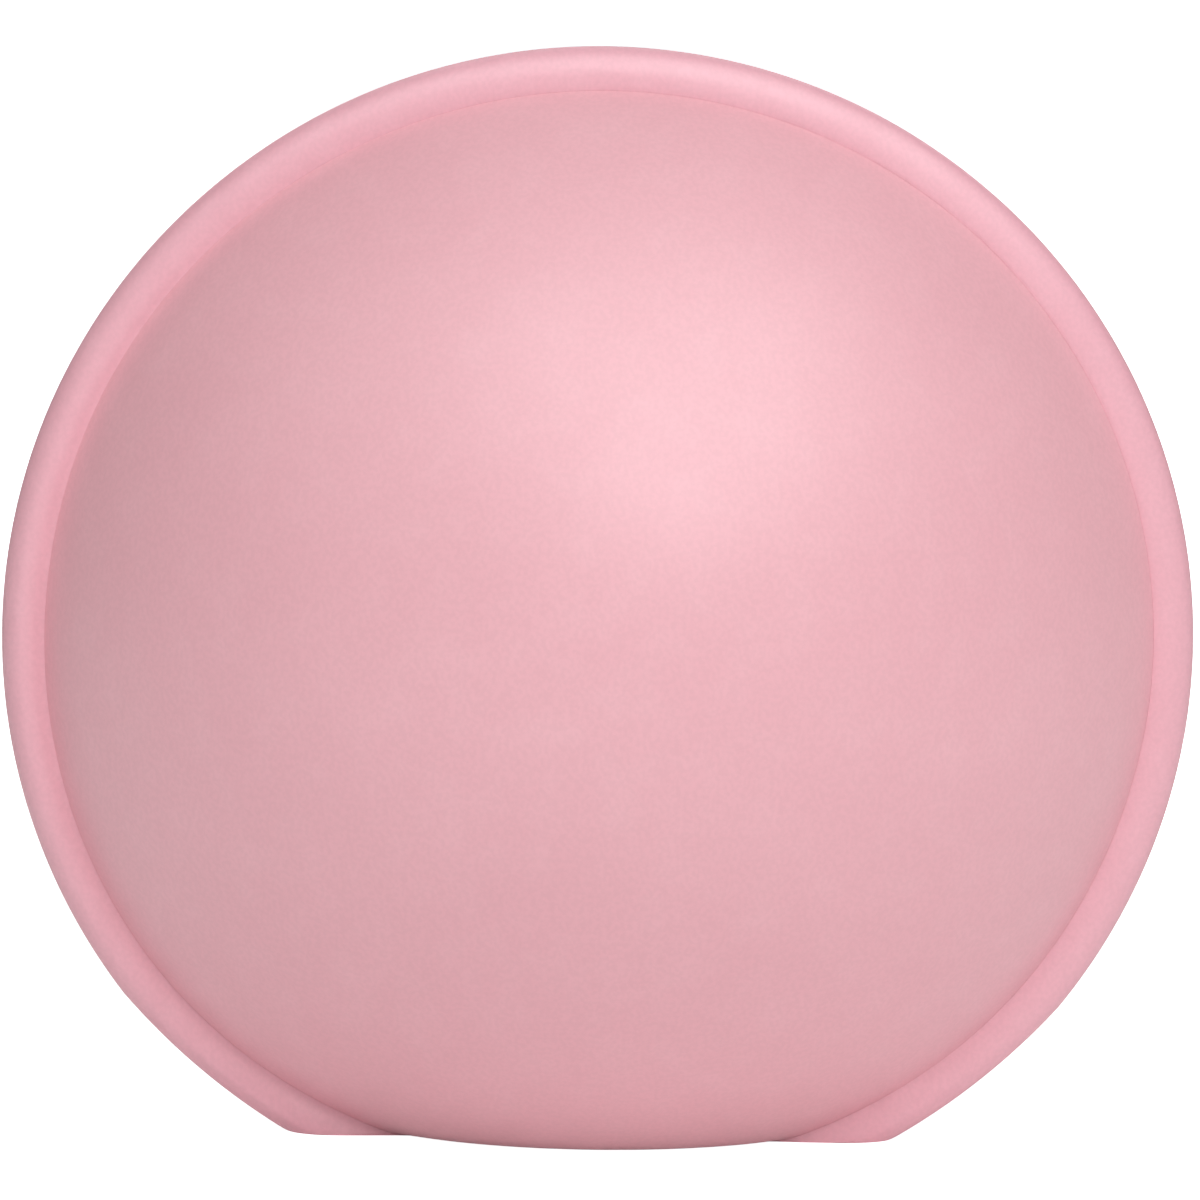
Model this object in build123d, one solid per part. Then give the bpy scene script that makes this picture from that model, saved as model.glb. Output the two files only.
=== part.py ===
from build123d import *
import os
from math import acos, cos, pi, sin, sqrt

# Squeeze-type silicone suction cup, standing on its flat-cut edge.
# Millimetres. +Z is up, the dome faces -Y, the open mouth (skin side) faces +Y.
# The cup's round axis runs along Y at AXIS_Z above the flat base.
# The front edge of the rim, where the dome meets it, lies at y = 0.

# ---- overall form -----------------------------------------------------------
RIM_R = 38.0          # widest radius, on the rounded rim bead
AXIS_Z = 32.1         # height of the round axis above the flat base
CREASE_R = 35.27      # radius of the crease between dome and rim bead
DOME_H = 19.7         # dome crown in front of the crease plane
REAR_D = 19.7         # mouth lip behind the crease plane
CORNER_R = 3.5        # small corner between the round rim and the flat base

# ---- squeeze dome -----------------------------------------------------------
DOME_WALL = 2.0
DOME_R = (CREASE_R**2 + DOME_H**2) / (2 * DOME_H)     # outer sphere
DOME_CY = DOME_R - DOME_H                             # its centre behind the crease
NECK_IN_R = 32.7
FLANGE_R = 36.1
FLANGE_Y = (1.95, 3.45)
NECK_Z, FLANGE_Z, BORE_Z = 2.55, 1.90, 5.10           # flat undersides of neck, flange and bore

# ---- rim bead and sleeve ----------------------------------------------------
BEAD_R = 1.55
BEAD_C = (36.45, 1.25)                                # radius and y of the bead's centre
SLEEVE_END = (34.95, 16.55)
SLEEVE_FLOOR = 1.20                                   # silicone under the frame
GAP = 0.05

# ---- hard parts under the silicone ------------------------------------------
HOOP_R, HOOP_SKIRT_IN, HOOP_LIP_IN = 36.8, 36.2, 35.35
HOOP_Y = (0.75, 1.90, 4.90)                           # lip front, lip back, skirt end
HOOP_Z, HOOP_SKIRT_Z, HOOP_LIP_Z = 1.23, 1.83, 2.48
FRAME_Y = (3.50, 5.00, 16.50, 18.00)                  # flange front, flange back, wall end, tongue end
FRAME_OUT = (35.9, 34.0)
FRAME_IN = (33.6, 31.7)
FRAME_Z, FRAME_IN_Z = 1.25, 3.50
TONGUE_R = (32.85, 33.50)
TONGUE_Z = (2.00, 2.65)

# ---- mouth lip --------------------------------------------------------------
LIP_R = (31.8, 34.95)
LIP_Y = 16.60
LIP_ROUND = 1.5
LIP_IN_Z = 3.60

# ---- air-release valve in the flat base -------------------------------------
VALVE_Y = 10.8
STROKE = 1.2
BUSH_R, BUSH_BORE_R, BUSH_FLANGE_R = 4.90, 3.75, 5.60
BUSH_Z = (0.90, 3.53, 4.60, 6.90, 8.10)               # foot, flange under, flange top, seat under, seat top
BUTTON_R, STEM_R = 3.65, 1.25
BUTTON_Z = (0.50, 2.60)
STEM_TOP = 11.3
SEAL_R, SEAL_H = 3.40, 1.0
CLIP_R, CLIP_H, GROOVE_R = 2.70, 0.80, 0.95
SPRING_R, SPRING_WIRE, SPRING_TURNS = 2.35, 0.38, 3.5
DISH_R, DISH_DEPTH = 8.0, 0.80                        # thumb dish round the button

BIG = 200.0


def turned(*edges):
    """Solid turned about the cup's axis from a closed (radius, y) profile."""
    face = make_face(Wire(list(edges)).edges())
    return Pos(0, 0, AXIS_Z) * revolve(face, Axis.Y, 360)


def outline(points):
    """Straight closed profile through (radius, y) points."""
    return [Line(points[i], points[(i + 1) % len(points)]).edge() for i in range(len(points))]


def disc(r0, y0, r1, y1, floor):
    """Filled disc or cone between two y planes, cut flat underneath."""
    body = turned(*outline([(0, y0), (r0, y0), (r1, y1), (0, y1)]))
    return above(body, floor)


def above(body, floor):
    return body & (Pos(0, 0, floor + BIG / 2) * Box(BIG, BIG, BIG))


def d_prism(radius, floor, corner, y0, y1):
    """Prism along Y with the cup's D outline: round, cut flat, soft corners."""
    height = radius + AXIS_Z - floor
    sketch = (Pos(0, AXIS_Z) * Circle(radius)) & (Pos(0, floor + height / 2 + 1) * Rectangle(BIG, height + 2))
    low = [v for v in sketch.vertices() if abs(v.Y - floor) < 1e-3]
    sketch = fillet(low, corner)
    wall = extrude(Plane.XZ * sketch, y1 - y0)
    return Pos(0, y1, 0) * wall


def one(shape):
    solids = sorted(shape.solids(), key=lambda s: -s.volume)
    return solids[0]


def write(name, shape):
    shape.label = name
    export_step(shape, f"parts/{name}.step")


os.makedirs("parts", exist_ok=True)

# ---- squeeze_dome -----------------------------------------------------------
in_r = DOME_R - DOME_WALL
join_y = DOME_CY - sqrt(in_r**2 - NECK_IN_R**2)       # where the inner sphere meets the neck bore


def cap(radius, y_end, floor):
    """Filled spherical cap from its crown back to y_end."""
    crown = DOME_CY - radius
    r_end = sqrt(radius**2 - (DOME_CY - y_end) ** 2)
    half = acos((DOME_CY - y_end) / radius) / 2
    mid = (radius * sin(half), DOME_CY - radius * cos(half))
    body = turned(
        ThreePointArc((0, crown), mid, (r_end, y_end)).edge(),
        Line((r_end, y_end), (0, y_end)).edge(),
        Line((0, y_end), (0, crown)).edge(),
    )
    return above(body, floor)


dome_skin = cap(DOME_R, 0.0, 0.0)
dome_skin += disc(CREASE_R, 0.0, CREASE_R, FLANGE_Y[0], NECK_Z)
dome_skin += disc(FLANGE_R, FLANGE_Y[0], FLANGE_R, FLANGE_Y[1], FLANGE_Z)
dome_bore = cap(in_r, join_y, BORE_Z)
dome_bore += disc(NECK_IN_R, join_y, NECK_IN_R, FLANGE_Y[1] + 1, BORE_Z)
squeeze_dome = one(dome_skin - dome_bore)

# ---- rim_sleeve -------------------------------------------------------------
# Outer profile: flat front behind the dome's toe, the round bead, then the tapering skin.
bead_in = (CREASE_R + GAP, BEAD_C[1] - sqrt(BEAD_R**2 - (BEAD_C[0] - CREASE_R - GAP) ** 2))
bead_mid = (BEAD_C[0] + BEAD_R * sin(0.75), BEAD_C[1] - BEAD_R * cos(0.75))
bead_side = (BEAD_C[0] + BEAD_R, BEAD_C[1])
a_back = 0.55
bead_back = (BEAD_C[0] + BEAD_R * cos(a_back), BEAD_C[1] + BEAD_R * sin(a_back))
bead_back_mid = (BEAD_C[0] + BEAD_R * cos(a_back / 2), BEAD_C[1] + BEAD_R * sin(a_back / 2))
shoulder = (37.05, 5.0)
sleeve_out = turned(
    Line((0, bead_in[1]), bead_in).edge(),
    ThreePointArc(bead_in, bead_mid, bead_side).edge(),
    ThreePointArc(bead_side, bead_back_mid, bead_back).edge(),
    Line(bead_back, shoulder).edge(),
    Line(shoulder, SLEEVE_END).edge(),
    Line(SLEEVE_END, (0, SLEEVE_END[1])).edge(),
    Line((0, SLEEVE_END[1]), (0, bead_in[1])).edge(),
)
sleeve_out = sleeve_out & d_prism(RIM_R, 0.0, CORNER_R, -5, 25)
sleeve_in = disc(CREASE_R + GAP, -2, CREASE_R + GAP, HOOP_Y[0] - 0.03, HOOP_LIP_Z - 0.03)
sleeve_in += disc(HOOP_R + 0.03, HOOP_Y[0] - 0.03, HOOP_R + 0.03, FRAME_Y[1] + 0.05, SLEEVE_FLOOR)
sleeve_in += disc(
    FRAME_OUT[0] + 0.05, FRAME_Y[1] + 0.05, FRAME_OUT[1] + 0.04, FRAME_Y[2] + 0.06, SLEEVE_FLOOR
)
rim_sleeve = sleeve_out - sleeve_in
rim_sleeve -= cap(DOME_R + GAP, 0.0, -5.0)
rim_sleeve -= Pos(0, VALVE_Y, 0) * Cylinder(BUSH_R + GAP, 10)
dish = Pos(0, VALVE_Y, DISH_DEPTH / 2) * Cone(DISH_R, BUSH_R + GAP, DISH_DEPTH)
rim_sleeve = one(rim_sleeve - dish)

# ---- front_hoop -------------------------------------------------------------
hoop = disc(HOOP_R, HOOP_Y[0], HOOP_R, HOOP_Y[2], HOOP_Z)
hoop -= disc(HOOP_LIP_IN, -1, HOOP_LIP_IN, HOOP_Y[1], HOOP_LIP_Z)
hoop -= disc(HOOP_SKIRT_IN, HOOP_Y[1], HOOP_SKIRT_IN, HOOP_Y[2] + 1, HOOP_SKIRT_Z)
hoop = hoop & d_prism(RIM_R - 1.1, HOOP_Z, CORNER_R - 1.2, -1, 10)
front_hoop = one(hoop)

# ---- collar_frame -----------------------------------------------------------
frame = disc(FLANGE_R, FRAME_Y[0], FLANGE_R, FRAME_Y[1], FLANGE_Z)
frame += disc(FRAME_OUT[0], FRAME_Y[1], FRAME_OUT[1], FRAME_Y[2], FRAME_Z)
frame -= disc(NECK_IN_R + 0.1, 0, NECK_IN_R + 0.1, FRAME_Y[1] + 0.01, BORE_Z)
frame -= disc(FRAME_IN[0], FRAME_Y[1], FRAME_IN[1], FRAME_Y[2] + 0.01, FRAME_IN_Z)
tongue = disc(TONGUE_R[1], FRAME_Y[2] - 0.3, TONGUE_R[1], FRAME_Y[3], TONGUE_Z[0])
frame += tongue - disc(TONGUE_R[0], FRAME_Y[2] - 1, TONGUE_R[0], FRAME_Y[3] + 1, TONGUE_Z[1])
frame -= Pos(0, VALVE_Y, 0) * Cylinder(BUSH_R + 0.03, 12)
collar_frame = one(frame)

# ---- skin_lip ---------------------------------------------------------------
y_end = REAR_D
k = LIP_ROUND * (1 - sqrt(0.5))
lip_out = turned(
    Line((0, LIP_Y), (LIP_R[1], LIP_Y)).edge(),
    Line((LIP_R[1], LIP_Y), (LIP_R[1], y_end - LIP_ROUND)).edge(),
    ThreePointArc(
        (LIP_R[1], y_end - LIP_ROUND), (LIP_R[1] - k, y_end - k), (LIP_R[1] - LIP_ROUND, y_end)
    ).edge(),
    Line((LIP_R[1] - LIP_ROUND, y_end), (0, y_end)).edge(),
    Line((0, y_end), (0, LIP_Y)).edge(),
)
lip = above(lip_out, 0.0)
lip_bore = turned(
    Line((0, LIP_Y - 1), (LIP_R[0], LIP_Y - 1)).edge(),
    Line((LIP_R[0], LIP_Y - 1), (LIP_R[0], y_end - LIP_ROUND)).edge(),
    ThreePointArc(
        (LIP_R[0], y_end - LIP_ROUND), (LIP_R[0] + k, y_end - k), (LIP_R[0] + LIP_ROUND, y_end)
    ).edge(),
    Line((LIP_R[0] + LIP_ROUND, y_end), (LIP_R[0] + LIP_ROUND, y_end + 1)).edge(),
    Line((LIP_R[0] + LIP_ROUND, y_end + 1), (0, y_end + 1)).edge(),
    Line((0, y_end + 1), (0, LIP_Y - 1)).edge(),
)
lip -= above(lip_bore, LIP_IN_Z)
groove = disc(TONGUE_R[1] + GAP, LIP_Y - 1, TONGUE_R[1] + GAP, FRAME_Y[3] + GAP, TONGUE_Z[0] - GAP)
groove -= disc(TONGUE_R[0] - GAP, LIP_Y - 2, TONGUE_R[0] - GAP, FRAME_Y[3] + 1, TONGUE_Z[1] + GAP)
skin_lip = one(lip - groove)

# ---- valve_bush -------------------------------------------------------------
at = Pos(0, VALVE_Y, 0)


def rod(radius, z0, z1):
    return at * (Pos(0, 0, (z0 + z1) / 2) * Cylinder(radius, z1 - z0))


bush = rod(BUSH_R, BUSH_Z[0], BUSH_Z[4]) + rod(BUSH_FLANGE_R, BUSH_Z[1], BUSH_Z[2])
bush -= rod(BUSH_BORE_R, 0, BUSH_Z[3])
bush -= rod(STEM_R + 0.10, 0, 12)
for i in range(4):
    a = pi / 4 + i * pi / 2
    bush -= Pos(2.35 * cos(a), 2.35 * sin(a), 0) * rod(0.55, 0, 12)
valve_bush = one(bush)

# ---- valve_button (head and stem in one moulding) ---------------------------
button = rod(BUTTON_R, *BUTTON_Z)
button = fillet(button.edges().filter_by(GeomType.CIRCLE).sort_by(Axis.Z)[0], 0.45)
button += rod(STEM_R, BUTTON_Z[1], STEM_TOP)
seal_z = BUSH_Z[4] + 0.02
clip_z = seal_z + SEAL_H + 0.03
button -= rod(STEM_R + 1, clip_z - 0.03, clip_z + CLIP_H + 0.03) - rod(GROOVE_R, clip_z - 1, clip_z + 2)
for i in range(3):
    a = pi / 2 + i * 2 * pi / 3
    button -= Pos(BUTTON_R * cos(a), BUTTON_R * sin(a), 0) * rod(0.55, 0, BUTTON_Z[1])
valve_button = one(button)

# ---- valve_seal -------------------------------------------------------------
valve_seal = one(rod(SEAL_R, seal_z, seal_z + SEAL_H) - rod(STEM_R + 0.02, 0, 12))

# ---- stem_clip (open retaining clip) ----------------------------------------
clip = rod(CLIP_R, clip_z, clip_z + CLIP_H) - rod(GROOVE_R + 0.03, 0, 12)
clip -= at * (Pos(0, CLIP_R, clip_z + CLIP_H / 2) * Box(1.5, 2 * CLIP_R, 4))
stem_clip = one(clip)

# ---- valve_spring -----------------------------------------------------------
spring_lo = BUTTON_Z[1] + SPRING_WIRE / 2 + 0.03
spring_hi = BUSH_Z[3] - SPRING_WIRE / 2 - 0.03
helix = Helix(pitch=(spring_hi - spring_lo) / SPRING_TURNS, height=spring_hi - spring_lo, radius=SPRING_R)
section = Plane(helix @ 0, z_dir=helix % 0) * Circle(SPRING_WIRE / 2)
valve_spring = at * (Pos(0, 0, spring_lo) * sweep(section, path=helix))
valve_spring = one(valve_spring)

PARTS = {
    "squeeze_dome": squeeze_dome,
    "rim_sleeve": rim_sleeve,
    "front_hoop": front_hoop,
    "collar_frame": collar_frame,
    "skin_lip": skin_lip,
    "valve_bush": valve_bush,
    "valve_button": valve_button,
    "valve_seal": valve_seal,
    "stem_clip": stem_clip,
    "valve_spring": valve_spring,
}
for name, shape in PARTS.items():
    write(name, shape)
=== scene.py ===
import math

import bmesh
import bpy
import numpy as np
from mathutils import Matrix, Vector


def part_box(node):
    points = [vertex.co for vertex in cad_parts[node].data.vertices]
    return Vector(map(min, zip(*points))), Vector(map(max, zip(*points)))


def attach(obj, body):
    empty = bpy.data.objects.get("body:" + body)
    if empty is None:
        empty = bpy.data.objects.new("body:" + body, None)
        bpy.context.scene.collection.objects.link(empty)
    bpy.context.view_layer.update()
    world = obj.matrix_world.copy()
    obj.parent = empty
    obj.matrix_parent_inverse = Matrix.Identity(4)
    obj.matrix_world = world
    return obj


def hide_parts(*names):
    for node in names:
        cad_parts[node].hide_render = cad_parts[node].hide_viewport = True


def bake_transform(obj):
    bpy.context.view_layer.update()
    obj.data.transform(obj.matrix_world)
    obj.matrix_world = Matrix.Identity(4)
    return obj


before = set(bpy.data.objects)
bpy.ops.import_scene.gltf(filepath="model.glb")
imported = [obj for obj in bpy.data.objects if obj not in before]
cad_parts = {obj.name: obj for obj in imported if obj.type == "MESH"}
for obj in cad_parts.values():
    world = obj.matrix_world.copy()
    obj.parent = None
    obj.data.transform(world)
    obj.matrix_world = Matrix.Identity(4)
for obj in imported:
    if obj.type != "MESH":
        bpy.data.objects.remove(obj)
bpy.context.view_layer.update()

# ------------------------------------------------------------------ sizes (metres)
MM = 0.001
ZC = 32.1                      # height of the cup's round axis, mm
RIM_R = 38.0
CREASE_R = 35.27
DOME_H = 19.7
DOME_R = (CREASE_R**2 + DOME_H**2) / (2 * DOME_H)
DOME_CY = DOME_R - DOME_H
DOME_WALL = 2.0
TURNS = 576                    # steps round the axis


# ------------------------------------------------------------------ mesh tools
def angles(n=TURNS):
    """Angles from straight down, closer together where the rim turns into its flat base."""
    s = np.linspace(-180, 180, 7201)
    dens = 1 + 3.5 * np.exp(-(((np.abs(s) - 31.0) / 6.0) ** 2)) + 0.8 * np.exp(-((s / 34.0) ** 4))
    total = np.concatenate([[0], np.cumsum((dens[1:] + dens[:-1]) / 2)])
    return np.radians(np.interp(np.arange(n) / n * total[-1], total, s))


def soft_min(a, b, k):
    """The smaller of a and b, with a rounded corner of size k between them."""
    h = np.clip(k - np.abs(a - b), 0, None) / np.maximum(k, 1e-9)
    return np.minimum(a, b) - h * h * k / 4


# how far the soft cup draws in towards its flat, in mm, by degrees from straight down (left is negative)
DRAW = ((-180, -0.02), (-150, 0.08), (-120, 0.0), (-90, 0.05), (-75, 0.0), (-60, 0.0), (-45, 0.18), (-30, 0.62),
        (-20, 0.94), (0, 1.05), (20, 0.90), (30, 0.68), (40, 0.40), (50, 0.20), (70, 0.07), (90, -0.08), (120, -0.09),
        (150, -0.06), (180, -0.02))
# how wide and soft the valley between dome and rim is, from 0, crisp, to 1
SOFT = ((-180, 0.10), (-150, 0.30), (-125, 0.65), (-100, 0.95), (-60, 1.0), (-30, 0.85), (0, 0.5), (30, 0.42), (60, 0.30),
        (90, 0.12), (120, 0.0), (150, 0.0), (180, 0.10))


def by_angle(table, phi):
    t = np.array(table, float)
    s = np.degrees((phi + math.pi) % (2 * math.pi) - math.pi)
    v = sum(np.interp((s + d + 180) % 360 - 180, t[:, 0], t[:, 1]) for d in (-9, -6, -3, 0, 3, 6, 9)) / 7
    return v


def lean(z):
    """How far the rim's outline draws in sideways over the lowest few millimetres."""
    return 0.092 * np.clip(8.9 - z, 0, None)


def turned_d(name, profile, closed=True, cap_start=False, cap_end=False, leaning=None, attrs=None, shape=None, front=0):
    """A mesh turned about the cup's axis and cut flat underneath.

    profile is rows of (radius, y, floor, softness), in mm. floor is the height of the flat that
    cuts that ring of points, and softness the size of the rounding between them. shape changes
    radius and y by angle. The first front rows are a front face, which the flat trims cleanly.
    """
    p = np.array(profile, float)
    phi = angles()
    n, m = len(phi), len(p)
    r, y, floor, soft = (np.repeat(p[:, i][:, None], n, 1) for i in range(4))
    if shape is not None:
        r, y = shape(r, y, phi[None, :])
    cosp = np.cos(phi)[None, :]
    plane = np.where(cosp > 1e-3, (ZC - floor) / np.maximum(cosp, 1e-3), 1e4)
    radius = soft_min(r, plane, soft)
    if front:
        for j in range(n):
            xs = np.concatenate([[r[0, j] - 0.5], r[:front, j]])
            ys = np.concatenate([[0.22], y[:front, j]])
            y[:front, j] = np.interp(radius[:front, j], xs, ys)
    x = radius * np.sin(phi)[None, :]
    z = ZC - radius * cosp
    if leaning is not None:
        w = np.array(leaning, float)[:, None]
        x = x - np.sign(x) * w * lean(z) * np.clip(np.abs(x) / 12.0, 0, 1) * (cosp > 0)
    co = np.stack([x, y, z], -1) * MM
    verts = co.reshape(-1, 3)
    faces = []
    rows = range(m if closed else m - 1)
    idx = np.arange(n)
    nxt = (idx + 1) % n
    for i in rows:
        j = (i + 1) % m
        a, b, c, d = i * n + idx, i * n + nxt, j * n + nxt, j * n + idx
        faces.append(np.stack([a, b, c, d], -1))
    faces = np.concatenate(faces)
    verts = list(map(tuple, verts))
    faces = [tuple(f) for f in faces.tolist()]
    if cap_start:
        verts.append((0.0, p[0, 1] * MM, ZC * MM))
        k = len(verts) - 1
        faces += [(k, int(b), int(a)) for a, b in zip(idx, nxt)]
    if cap_end:
        verts.append((0.0, p[-1, 1] * MM, ZC * MM))
        k = len(verts) - 1
        base = (m - 1) * n
        faces += [(k, int(base + a), int(base + b)) for a, b in zip(idx, nxt)]
    mesh = bpy.data.meshes.new(name)
    mesh.from_pydata(verts, [], faces)
    if attrs:
        for key, values in attrs.items():
            v = np.repeat(np.array(values, float), n)
            extra = len(verts) - len(v)
            v = np.concatenate([v, np.full(extra, v[0] if cap_start else v[-1])])
            at = mesh.attributes.new(key, "FLOAT", "POINT")
            at.data.foreach_set("value", v.astype(np.float32))
    bm = bmesh.new()
    bm.from_mesh(mesh)
    bmesh.ops.remove_doubles(bm, verts=bm.verts, dist=2e-6)
    bmesh.ops.dissolve_degenerate(bm, edges=bm.edges, dist=1e-6)
    bmesh.ops.recalc_face_normals(bm, faces=bm.faces)
    bm.to_mesh(mesh)
    bm.free()
    mesh.shade_smooth()
    obj = bpy.data.objects.new(name, mesh)
    bpy.context.scene.collection.objects.link(obj)
    return obj


def arc(cr, cy, rad, a0, a1, n):
    """Points on an arc in the (radius, y) plane; angle 0 points outwards, 90 degrees to the back."""
    t = np.radians(np.linspace(a0, a1, n))
    return [(cr + rad * math.cos(a), cy + rad * math.sin(a)) for a in t]


def line(a, b, n):
    """Points from a to b, without the last one."""
    return [(a[0] + (b[0] - a[0]) * i / n, a[1] + (b[1] - a[1]) * i / n) for i in range(n)]


def rounded(points, radii, n=5):
    """A closed polygon's corners rounded in the (radius, y) plane."""
    out = []
    m = len(points)
    for i in range(m):
        p0, p1, p2 = (np.array(points[(i + k) % m], float) for k in (-1, 0, 1))
        r = radii[i]
        if r <= 0:
            out.append(tuple(p1))
            continue
        u, v = p0 - p1, p2 - p1
        lu, lv = np.linalg.norm(u), np.linalg.norm(v)
        u, v = u / lu, v / lv
        half = math.acos(max(-1, min(1, float(u @ v)))) / 2
        d = min(r / math.tan(half), lu * 0.49, lv * 0.49)
        r = d * math.tan(half)
        c = p1 + (u + v) / np.linalg.norm(u + v) * r / math.sin(half)
        a, b = p1 + u * d - c, p1 + v * d - c
        a0, a1 = math.atan2(a[1], a[0]), math.atan2(b[1], b[0])
        turn = (a1 - a0 + math.pi) % (2 * math.pi) - math.pi
        for k in range(n + 1):
            t = a0 + turn * k / n
            out.append((c[0] + r * math.cos(t), c[1] + r * math.sin(t)))
    return out


def spaced(points, step, closed=True):
    """Long runs split so that no step is longer than step."""
    out = []
    m = len(points)
    for i in range(m if closed else m - 1):
        a, b = points[i], points[(i + 1) % m]
        k = max(1, int(math.hypot(a[0] - b[0], a[1] - b[1]) / step))
        out += line(a, b, k)
    if not closed:
        out.append(points[-1])
    return out


# ------------------------------------------------------------------ dome
def dome_shape(r, y, phi):
    """Draws the lower dome in towards its flat and rolls its edge over into the valley."""
    soft = by_angle(SOFT, phi)
    outer = (np.arange(len(r)) < DOME_ROWS)[:, None]
    neck = (y < 0.73) & (np.arange(len(r)) < DOME_ROWS + 2)[:, None]
    gap = np.clip(CREASE_R - r, 0, None)
    roll = (0.01 + 0.40 * soft) * np.exp(-((gap / (0.14 + 1.00 * soft)) ** 2))
    y = np.where(outer, y + roll, y)
    wide = np.clip(r / CREASE_R, 0, 1) ** 3
    pull = by_angle(DRAW, phi)
    r = np.where(outer | neck, r - pull * wide, r)
    return r, y


DOME_ROWS = 123


def make_dome():
    prof, use = [], []
    # outer skin, crown to crease, with closer rows at the edge
    half = math.acos(DOME_CY / DOME_R)
    steps = [half * i / 96 for i in range(1, 89)]
    steps += [half * (88 / 96 + (8 / 96) * (i / 34)) for i in range(1, 35)]
    steps.append(half * 0.9997)
    steps.sort()
    for t in steps:
        prof.append((DOME_R * math.sin(t), DOME_CY - DOME_R * math.cos(t), 0.0, 0.5))
        use.append(t / half)
    assert len(prof) == DOME_ROWS
    # neck, flange
    prof += [(CREASE_R, 0.45, 1.2, 0.4), (CREASE_R, 0.72, 1.9, 0.4), (CREASE_R, 0.76, 2.55, 0.4), (CREASE_R, 1.95, 2.55, 0.4)]
    prof += [(36.05, 1.98, 1.95, 0.4), (36.05, 3.42, 1.95, 0.4)]
    prof += [(34.4, 3.45, 3.5, 0.4), (32.95, 3.45, 4.9, 0.6), (32.75, 3.3, 5.05, 0.8), (32.7, 2.4, 5.1, 1.0)]
    use += [1.0] * 10
    in_r = DOME_R - DOME_WALL
    start = math.asin(32.7 / in_r)
    k = 70
    for i in range(0, k):
        t = start * (1 - i / k)
        prof.append((in_r * math.sin(t), DOME_CY - in_r * math.cos(t), 5.1, 2.0))
        use.append(t / half)
    return turned_d("dome", prof, closed=False, cap_start=True, cap_end=True, attrs={"out": use}, shape=dome_shape)


# front of the rim from the valley to its widest point: (radius, y) where the valley is crisp, and where it is soft
CRISP = ((35.273, -0.005), (35.283, -0.008), (35.37, -0.025), (35.50, -0.038), (35.70, -0.035), (35.95, -0.01), (36.30, 0.04), (36.65, 0.12),
         (37.00, 0.24), (37.32, 0.40), (37.62, 0.63), (37.86, 0.94), (38.00, 1.30))
WIDE = ((35.273, 0.41), (35.283, 0.409), (35.40, 0.385), (35.58, 0.32), (35.85, 0.19), (36.15, 0.07), (36.50, -0.01), (36.85, 0.00),
        (37.15, 0.13), (37.45, 0.36), (37.70, 0.64), (37.89, 0.95), (38.00, 1.30))


def smooth_line(points, k=2):
    """A smooth curve through the points, k steps to each span."""
    q = np.array(points, float)
    ext = np.vstack([2 * q[0] - q[1], q, 2 * q[-1] - q[-2]])
    out = []
    for i in range(1, len(ext) - 2):
        a, b, c, d = ext[i - 1 : i + 3]
        for t in np.arange(k) / k:
            out.append(0.5 * (2 * b + (c - a) * t + (2 * a - 5 * b + 4 * c - d) * t**2 + (3 * b - a - 3 * c + d) * t**3))
    out.append(q[-1])
    return np.array(out)


def make_sleeve():
    crisp, wide = smooth_line(CRISP), smooth_line(WIDE)
    front = len(crisp)
    pts = [tuple(q) for q in crisp]
    bead = (36.45, 1.30, 1.55)
    for i in range(1, 9):
        a = math.radians(32.0 * i / 8)
        pts.append((bead[0] + bead[2] * math.cos(a), bead[1] + bead[2] * math.sin(a)))
    back = pts[-1]
    skin = [(37.30, 3.0), (37.12, 4.2), (36.95, 5.4)]
    end = (34.95, 16.25)
    pts += spaced([back, *skin, end], 0.55, closed=False)[1:]
    pts += [(34.90, 16.42), (34.80, 16.52), (34.66, 16.55)]
    outer = len(pts)
    use = [0.0] * outer
    prof = [(r, y, 0.05 if i < front - 3 else 0.0, 0.38) for i, (r, y) in enumerate(pts)]
    lean_w = [float(np.clip((r - 35.6) / 1.6, 0, 1)) if i < front else float(np.clip((5.2 - y) / 3.2, 0, 1)) for i, (r, y) in enumerate(pts)]
    inner = [(34.10, 16.55, 1.2), (36.00, 5.05, 1.2), (36.83, 5.03, 1.2), (36.83, 0.73, 1.2), (35.34, 0.73, 2.45), (35.28, 0.60, 2.45)]
    prof += [(r, y, f, 0.6) for r, y, f in inner]
    # the front tip of the floor under the dome's neck
    prof += [(35.275, 0.46, 0.3, 0.3)]
    lean_w += [0.0] * 7
    use += [1.0] * 7

    def shape(r, y, phi):
        soft = by_angle(SOFT, phi)
        for i in range(front):
            r[i] = crisp[i, 0] * (1 - soft[0]) + wide[i, 0] * soft[0]
            y[i] = crisp[i, 1] * (1 - soft[0]) + wide[i, 1] * soft[0]
        near = np.clip((36.9 - r) / 1.6, 0, 1) * ((np.arange(len(r)) < front) | (np.arange(len(r)) >= len(r) - 2))[:, None]
        r = r - by_angle(DRAW, phi) * near**1.3
        return r, y

    return turned_d("rim", prof, closed=True, leaning=lean_w, attrs={"inside": use}, shape=shape, front=front)


def make_lip():
    r_out, r_in, y0, y1 = 34.95, 31.8, 16.60, 19.70
    rr = 1.5
    pts = []
    pts += [(34.68, y0), (34.84, y0 + 0.05), (34.92, y0 + 0.16)]
    pts += line((r_out, y0 + 0.30), (r_out, y1 - rr), 4)
    pts += arc(r_out - rr, y1 - rr, rr, 0, 88, 14)
    pts += arc(r_in + rr, y1 - rr, rr, 92, 180, 14)
    pts += line((r_in, y1 - rr - 0.2), (r_in, y0 + 0.3), 4)[1:]
    pts += [(r_in + 0.04, y0 + 0.14), (r_in + 0.14, y0 + 0.04), (r_in + 0.3, y0)]
    prof = []
    for r, y in pts:
        f = 3.6 * (r_out - r) / (r_out - r_in)
        prof.append((r, y, f, 3.0))
    return turned_d("mouth_lip", prof, closed=True)


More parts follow.
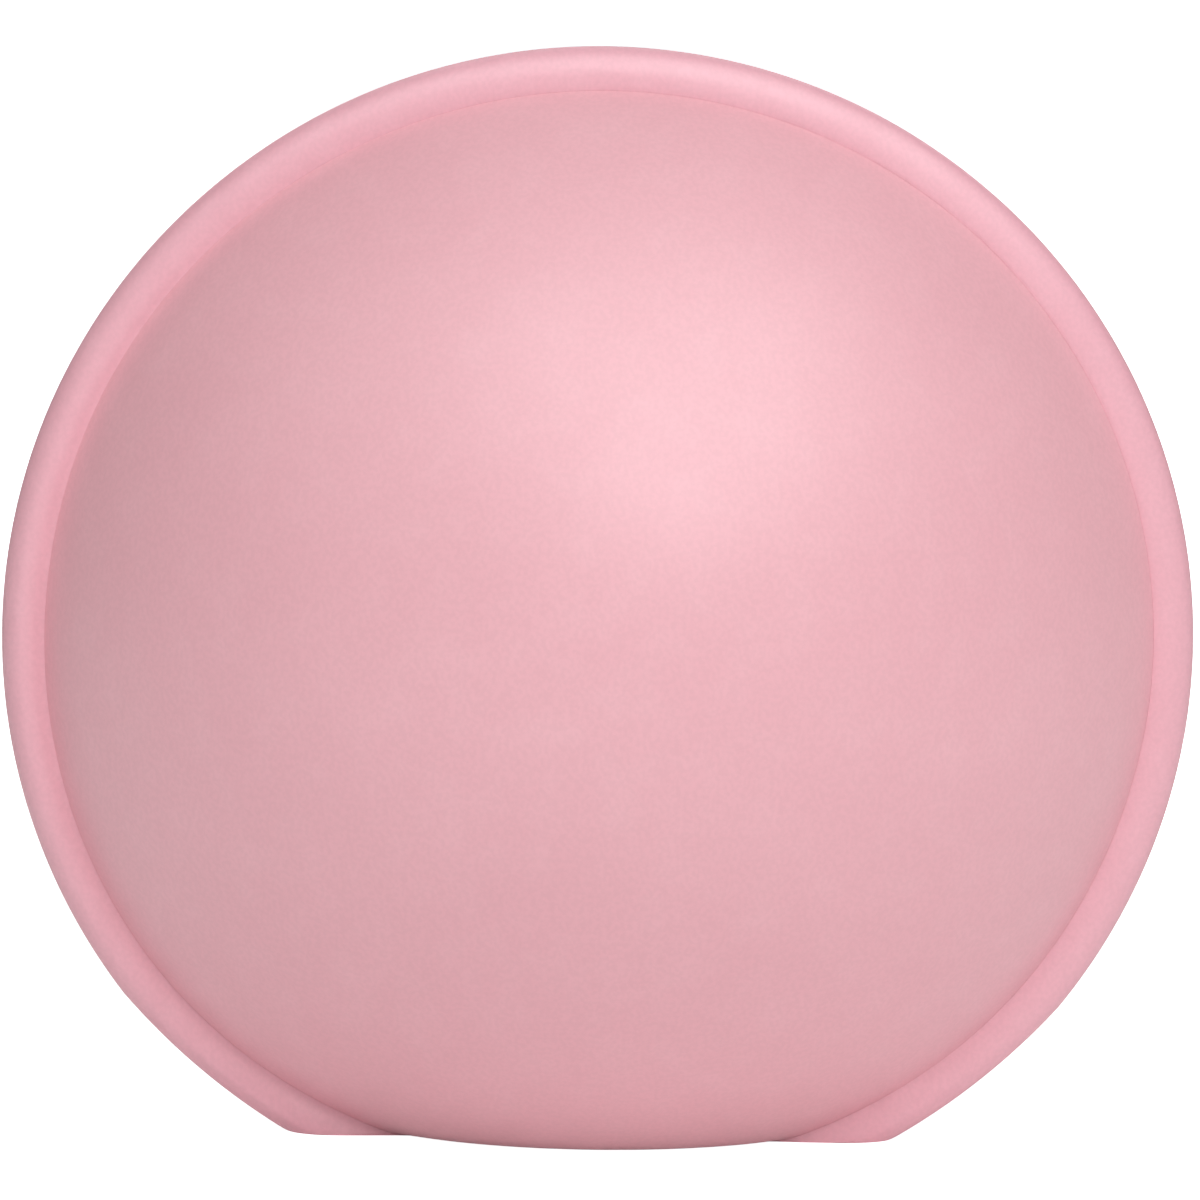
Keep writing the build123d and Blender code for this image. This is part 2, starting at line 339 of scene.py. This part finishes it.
def ring(name, points, radii, at, n=96):
    """A small turned ring about a vertical axis at (x, y), from (radius, z) points."""
    pts = rounded(points, radii)
    t = np.linspace(0, 2 * math.pi, n, endpoint=False)
    p = np.array(pts)
    m = len(p)
    x = p[:, 0][:, None] * np.cos(t)[None] + at[0]
    y = p[:, 0][:, None] * np.sin(t)[None] + at[1]
    z = np.broadcast_to(p[:, 1][:, None], (m, n))
    v = (np.stack([x, y, z], -1) * MM).reshape(-1, 3)
    idx = np.arange(n)
    nxt = (idx + 1) % n
    f = []
    for i in range(m):
        j = (i + 1) % m
        f.append(np.stack([i * n + idx, i * n + nxt, j * n + nxt, j * n + idx], -1))
    mesh = bpy.data.meshes.new(name)
    mesh.from_pydata([tuple(q) for q in v.tolist()], [], [tuple(q) for q in np.concatenate(f).tolist()])
    bm = bmesh.new()
    bm.from_mesh(mesh)
    bmesh.ops.recalc_face_normals(bm, faces=bm.faces)
    bm.to_mesh(mesh)
    bm.free()
    mesh.shade_smooth()
    obj = bpy.data.objects.new(name, mesh)
    bpy.context.scene.collection.objects.link(obj)
    return obj


def coil(name, radius, wire, z0, z1, turns, at, sides=14, per_turn=40):
    """An open coil spring about a vertical axis, in mm, with flat-cut ends."""
    steps = int(turns * per_turn)
    pitch = (z1 - z0) / (2 * math.pi * turns)
    verts, faces = [], []
    for i in range(steps + 1):
        t = 2 * math.pi * turns * i / steps
        c = Vector((radius * math.cos(t) + at[0], radius * math.sin(t) + at[1], z0 + pitch * t))
        along = Vector((-radius * math.sin(t), radius * math.cos(t), pitch)).normalized()
        out = Vector((math.cos(t), math.sin(t), 0))
        up = along.cross(out).normalized()
        for j in range(sides):
            a = 2 * math.pi * j / sides
            verts.append(tuple((c + out * (wire / 2 * math.cos(a)) + up * (wire / 2 * math.sin(a))) * MM))
    for i in range(steps):
        for j in range(sides):
            k = (j + 1) % sides
            faces.append((i * sides + j, i * sides + k, (i + 1) * sides + k, (i + 1) * sides + j))
    faces.append(tuple(range(sides)))
    faces.append(tuple(steps * sides + j for j in range(sides)))
    mesh = bpy.data.meshes.new(name)
    mesh.from_pydata(verts, [], faces)
    bm = bmesh.new()
    bm.from_mesh(mesh)
    bmesh.ops.recalc_face_normals(bm, faces=bm.faces)
    bm.to_mesh(mesh)
    bm.free()
    mesh.shade_smooth()
    obj = bpy.data.objects.new(name, mesh)
    bpy.context.scene.collection.objects.link(obj)
    return obj


# ------------------------------------------------------------------ materials
def nodes_of(name):
    m = bpy.data.materials.new(name)
    m.use_nodes = True
    nt = m.node_tree
    b = nt.nodes["Principled BSDF"]
    return m, nt, b


def noise(nt, scale, detail=3.0, rough=0.55, coord=None):
    n = nt.nodes.new("ShaderNodeTexNoise")
    n.inputs["Scale"].default_value = scale
    n.inputs["Detail"].default_value = detail
    n.inputs["Roughness"].default_value = rough
    nt.links.new(coord, n.inputs["Vector"])
    return n


def ramp(nt, src, lo, hi, a, b):
    """Maps src from lo..hi to a..b, held at the ends."""
    n = nt.nodes.new("ShaderNodeMapRange")
    n.clamp = True
    n.inputs["From Min"].default_value = lo
    n.inputs["From Max"].default_value = hi
    n.inputs["To Min"].default_value = a
    n.inputs["To Max"].default_value = b
    nt.links.new(src, n.inputs["Value"])
    return n.outputs["Result"]


def mix(nt, fac, a, b, blend="MIX"):
    n = nt.nodes.new("ShaderNodeMix")
    n.data_type = "RGBA"
    n.blend_type = blend
    for s, v in ((n.inputs[0], fac), (n.inputs[6], a), (n.inputs[7], b)):
        if isinstance(v, (int, float)):
            s.default_value = v
        elif isinstance(v, tuple):
            s.default_value = (*v, 1.0)
        else:
            nt.links.new(v, s)
    return n.outputs[2]


def silicone(name, base, deep, pale, rough=0.44, speck=True, grain=0.0000035, sheen=0.01, scatter=0.0):
    """Moulded silicone: slight cloudiness, fine spark-eroded grain, dust specks, soft sheen."""
    m, nt, b = nodes_of(name)
    co = nt.nodes.new("ShaderNodeTexCoord").outputs["Object"]
    cloud = noise(nt, 55.0, 3.0, 0.5, co)
    mottle = noise(nt, 420.0, 2.0, 0.6, co)
    col = mix(nt, ramp(nt, cloud.outputs["Fac"], 0.30, 0.70, 0.0, 1.0), deep, base)
    col = mix(nt, ramp(nt, mottle.outputs["Fac"], 0.45, 0.75, 0.0, 0.22), col, pale)
    grit = noise(nt, 3400.0, 1.0, 0.5, co)
    col = mix(nt, ramp(nt, grit.outputs["Fac"], 0.36, 0.64, 0.0, 0.20), col, tuple(0.80 * c for c in deep))
    if speck:
        # a few pale dust specks, 0.1 to 0.25 mm
        v = nt.nodes.new("ShaderNodeTexVoronoi")
        v.inputs["Scale"].default_value = 130.0
        v.inputs["Randomness"].default_value = 1.0
        nt.links.new(co, v.inputs["Vector"])
        dot = ramp(nt, v.outputs["Distance"], 0.011, 0.021, 1.0, 0.0)
        sep = nt.nodes.new("ShaderNodeSeparateColor")
        nt.links.new(v.outputs["Color"], sep.inputs[0])
        some = ramp(nt, sep.outputs[0], 0.90, 0.93, 0.0, 0.6)
        mul = nt.nodes.new("ShaderNodeMath")
        mul.operation = "MULTIPLY"
        nt.links.new(dot, mul.inputs[0])
        nt.links.new(some, mul.inputs[1])
        col = mix(nt, mul.outputs[0], col, (0.95, 0.86, 0.86))
    nt.links.new(col, b.inputs["Base Color"])
    fine = noise(nt, 5200.0, 2.0, 0.6, co)
    patch = noise(nt, 90.0, 2.0, 0.5, co)
    nt.links.new(ramp(nt, patch.outputs["Fac"], 0.35, 0.65, rough - 0.04, rough + 0.05), b.inputs["Roughness"])
    wave = noise(nt, 240.0, 1.0, 0.4, co)
    add = nt.nodes.new("ShaderNodeMath")
    add.operation = "MULTIPLY_ADD"
    add.inputs[1].default_value = 2.0
    nt.links.new(wave.outputs["Fac"], add.inputs[0])
    nt.links.new(fine.outputs["Fac"], add.inputs[2])
    bump = nt.nodes.new("ShaderNodeBump")
    bump.inputs["Strength"].default_value = 1.0
    bump.inputs["Distance"].default_value = grain
    nt.links.new(add.outputs[0], bump.inputs["Height"])
    nt.links.new(bump.outputs["Normal"], b.inputs["Normal"])
    b.inputs["IOR"].default_value = 1.48
    b.inputs["Specular IOR Level"].default_value = 1.0
    b.inputs["Sheen Weight"].default_value = sheen
    b.inputs["Sheen Roughness"].default_value = 0.45
    b.inputs["Sheen Tint"].default_value = (1.0, 0.93, 0.94, 1.0)
    if scatter:
        b.inputs["Subsurface Weight"].default_value = scatter
        b.inputs["Subsurface Radius"].default_value = (1.0, 0.45, 0.42)
        b.inputs["Subsurface Scale"].default_value = 0.0012
    return m


def plastic(name, base, dark, rough=0.42, grain=0.000004, scale=2600.0, gloss=0.5):
    """Moulded plastic with a fine eroded grain and slight flow marks."""
    m, nt, b = nodes_of(name)
    co = nt.nodes.new("ShaderNodeTexCoord").outputs["Object"]
    flow = noise(nt, 70.0, 3.0, 0.5, co)
    col = mix(nt, ramp(nt, flow.outputs["Fac"], 0.35, 0.65, 0.0, 1.0), dark, base)
    nt.links.new(col, b.inputs["Base Color"])
    fine = noise(nt, scale, 2.0, 0.55, co)
    bump = nt.nodes.new("ShaderNodeBump")
    bump.inputs["Strength"].default_value = 1.0
    bump.inputs["Distance"].default_value = grain
    nt.links.new(fine.outputs["Fac"], bump.inputs["Height"])
    nt.links.new(bump.outputs["Normal"], b.inputs["Normal"])
    nt.links.new(ramp(nt, fine.outputs["Fac"], 0.3, 0.7, rough - 0.05, rough + 0.07), b.inputs["Roughness"])
    b.inputs["Specular IOR Level"].default_value = gloss
    return m


def steel(name):
    """Drawn stainless wire: fine lines round the valve's axis."""
    m, nt, b = nodes_of(name)
    co = nt.nodes.new("ShaderNodeTexCoord").outputs["Object"]
    mp = nt.nodes.new("ShaderNodeMapping")
    mp.inputs["Scale"].default_value = (300.0, 300.0, 5000.0)
    nt.links.new(co, mp.inputs["Vector"])
    n = noise(nt, 1.0, 3.0, 0.6, mp.outputs["Vector"])
    nt.links.new(mix(nt, n.outputs["Fac"], (0.42, 0.42, 0.43), (0.66, 0.66, 0.67)), b.inputs["Base Color"])
    nt.links.new(ramp(nt, n.outputs["Fac"], 0.3, 0.7, 0.22, 0.40), b.inputs["Roughness"])
    b.inputs["Metallic"].default_value = 1.0
    return m


BASE = (0.836, 0.440, 0.491)
DEEP = (0.818, 0.420, 0.472)
PALE = (0.874, 0.506, 0.552)
mat_dome = silicone("dome_silicone", BASE, DEEP, PALE)
mat_rim = silicone("rim_silicone", (0.838, 0.430, 0.497), (0.820, 0.410, 0.478), (0.876, 0.497, 0.560))
mat_lip = silicone("lip_silicone", (0.860, 0.470, 0.520), (0.830, 0.430, 0.480), (0.91, 0.56, 0.60), rough=0.40, scatter=0.2)
mat_frame = plastic("frame_plastic", (0.86, 0.55, 0.59), (0.83, 0.51, 0.555))
mat_valve = plastic("valve_acetal", (0.86, 0.85, 0.83), (0.82, 0.81, 0.79), rough=0.34)
mat_button = plastic("button_plastic", (0.72, 0.27, 0.34), (0.67, 0.24, 0.31), rough=0.28)
mat_seal = silicone("seal_silicone", (0.80, 0.36, 0.42), (0.76, 0.32, 0.38), (0.86, 0.45, 0.5), rough=0.45, speck=False)
mat_steel = steel("spring_steel")

# ------------------------------------------------------------------ pieces
dome = make_dome()
dome.data.materials.append(mat_dome)
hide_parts("squeeze_dome")

rim = make_sleeve()
rim.data.materials.append(mat_rim)
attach(rim, "cup_body")
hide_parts("rim_sleeve")

lip = make_lip()
lip.data.materials.append(mat_lip)
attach(lip, "cup_body")
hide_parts("skin_lip")

seal_lo, seal_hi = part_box("valve_seal")
sz0, sz1 = seal_lo[2] / MM, seal_hi[2] / MM
seal = ring("seal_washer", [(1.28, sz0), (3.4, sz0), (3.4, sz1 - 0.15), (2.9, sz1), (1.28, sz1)], [0.05, 0.18, 0.3, 0.2, 0.1], (0.0, 10.8))
seal.data.materials.append(mat_seal)
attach(seal, "release_valve")
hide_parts("valve_seal")

# the coil spring, one fixed mesh baked in place; on the real valve its lower coil goes up with the button and its top
# coil stays on the bush
spring = coil("valve_coil", 2.35, 0.38, 2.82, 6.68, 3.5, (0.0, 10.8))
spring.data.materials.append(mat_steel)
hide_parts("valve_spring")
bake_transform(spring)

for node, mat in {
    "front_hoop": mat_frame,
    "collar_frame": mat_frame,
    "valve_bush": mat_valve,
    "valve_button": mat_button,
    "stem_clip": mat_steel,
}.items():
    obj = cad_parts[node]
    if obj.material_slots:
        for s in obj.material_slots:
            s.material = mat
    else:
        obj.data.materials.append(mat)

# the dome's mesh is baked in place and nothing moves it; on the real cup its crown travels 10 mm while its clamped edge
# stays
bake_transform(dome)

# ------------------------------------------------------------------ floor, light, camera
def floor_mesh():
    """A round sheet of pale card, flat under the cup and curving up far away on every side."""
    prof = [(0.25, 0.0), (0.6, 0.0), (1.1, 0.0)]
    prof += [(1.1 + 0.7 * math.sin(a), 0.7 - 0.7 * math.cos(a)) for a in np.radians(np.linspace(8, 90, 14))]
    prof += [(1.8, 1.3)]
    n = 96
    verts = [(0.0, 0.0, 0.0)]
    faces = []
    for r, z in prof:
        verts += [(r * math.cos(t), r * math.sin(t), z) for t in np.linspace(0, 2 * math.pi, n, endpoint=False)]
    for j in range(n):
        faces.append((0, 1 + j, 1 + (j + 1) % n))
    for i in range(len(prof) - 1):
        for j in range(n):
            k = (j + 1) % n
            faces.append((1 + i * n + j, 1 + (i + 1) * n + j, 1 + (i + 1) * n + k, 1 + i * n + k))
    mesh = bpy.data.meshes.new("backdrop")
    mesh.from_pydata(verts, [], faces)
    mesh.shade_smooth()
    obj = bpy.data.objects.new("backdrop", mesh)
    bpy.context.scene.collection.objects.link(obj)
    m, nt, b = nodes_of("white_card")
    b.inputs["Base Color"].default_value = (0.93, 0.93, 0.93, 1)
    b.inputs["Roughness"].default_value = 0.9
    b.inputs["Specular IOR Level"].default_value = 0.1
    b.inputs["Emission Color"].default_value = (1, 1, 1, 1)
    seen = nt.nodes.new("ShaderNodeLightPath")
    lift = nt.nodes.new("ShaderNodeMath")
    lift.operation = "MULTIPLY"
    lift.inputs[1].default_value = CARD_GLOW
    nt.links.new(seen.outputs["Is Camera Ray"], lift.inputs[0])
    # the sheet glows a little near the cup, like a light table
    co = nt.nodes.new("ShaderNodeTexCoord").outputs["Object"]
    far = nt.nodes.new("ShaderNodeVectorMath")
    far.operation = "LENGTH"
    nt.links.new(co, far.inputs[0])
    near = ramp(nt, far.outputs["Value"], 0.12, 0.34, NEAR_GLOW, 0.0)
    both = nt.nodes.new("ShaderNodeMath")
    both.operation = "ADD"
    nt.links.new(lift.outputs[0], both.inputs[0])
    nt.links.new(near, both.inputs[1])
    nt.links.new(both.outputs[0], b.inputs["Emission Strength"])
    mesh.materials.append(m)


CARD_GLOW = 0.92
NEAR_GLOW = 0.045
floor_mesh()


def softbox(name, at, aim, size, power, colour=(1, 1, 1)):
    light = bpy.data.lights.new(name, "AREA")
    light.shape = "RECTANGLE"
    light.size, light.size_y = size
    light.energy = power
    light.color = colour
    obj = bpy.data.objects.new(name, light)
    obj.location = at
    obj.rotation_mode = "QUATERNION"
    obj.rotation_quaternion = (Vector(aim) - Vector(at)).to_track_quat("-Z", "Y")
    bpy.context.scene.collection.objects.link(obj)
    return obj


aim = (0, 0, 0.035)
LIGHTS = {
    "key": dict(at=(0.15, -0.61, 0.385), size=(0.30, 0.30), power=1.18),
    "high": dict(at=(0.10, -0.42, 0.62), size=(0.80, 0.55), power=2.82),
    "upper_right": dict(at=(0.40, -0.36, 0.52), size=(0.60, 0.60), power=0.74),
    "upper_left": dict(at=(-0.40, -0.36, 0.52), size=(0.60, 0.60), power=0.70),
    "right_front": dict(at=(0.60, -0.55, 0.30), size=(0.90, 0.80), power=0.22),
    "left_front": dict(at=(-0.60, -0.55, 0.30), size=(0.90, 0.80), power=0.06),
    "rear": dict(at=(0.0, 0.45, 0.60), size=(0.60, 0.40), power=0.60),
    "rear_right": dict(at=(0.25, 0.75, 0.28), size=(0.40, 0.40), power=1.10),
    "rear_left": dict(at=(-0.25, 0.75, 0.28), size=(0.40, 0.40), power=1.10),
}
for name, spec in LIGHTS.items():
    softbox(name, spec["at"], aim, spec["size"], spec["power"])

world = bpy.data.worlds.new("studio")
bpy.context.scene.world = world
world.use_nodes = True
world.node_tree.nodes["Background"].inputs["Color"].default_value = (1, 1, 1, 1)
world.node_tree.nodes["Background"].inputs["Strength"].default_value = 0.04

cam = bpy.data.cameras.new("camera")
cam.sensor_width = 36.0
cam.lens = 195.0
cam.clip_start, cam.clip_end = 0.01, 20.0
camera = bpy.data.objects.new("camera", cam)
bpy.context.scene.collection.objects.link(camera)
el, az, roll = math.radians(8.34), math.radians(-0.968), math.radians(1.097)
back = Vector((math.sin(az) * math.cos(el), -math.cos(az) * math.cos(el), math.sin(el)))
quat = (-back).to_track_quat("-Z", "Y")
quat = quat @ Matrix.Rotation(roll, 3, "Z").to_quaternion()
right, up = quat @ Vector((1, 0, 0)), quat @ Vector((0, 1, 0))
target = Vector((0, 0, ZC * MM)) + up * 0.002924 + right * 0.000087
camera.location = target + back * 0.413302
camera.rotation_mode = "QUATERNION"
camera.rotation_quaternion = quat
bpy.context.scene.camera = camera

view = bpy.context.scene.view_settings
view.view_transform = "Standard"
view.look = "None"
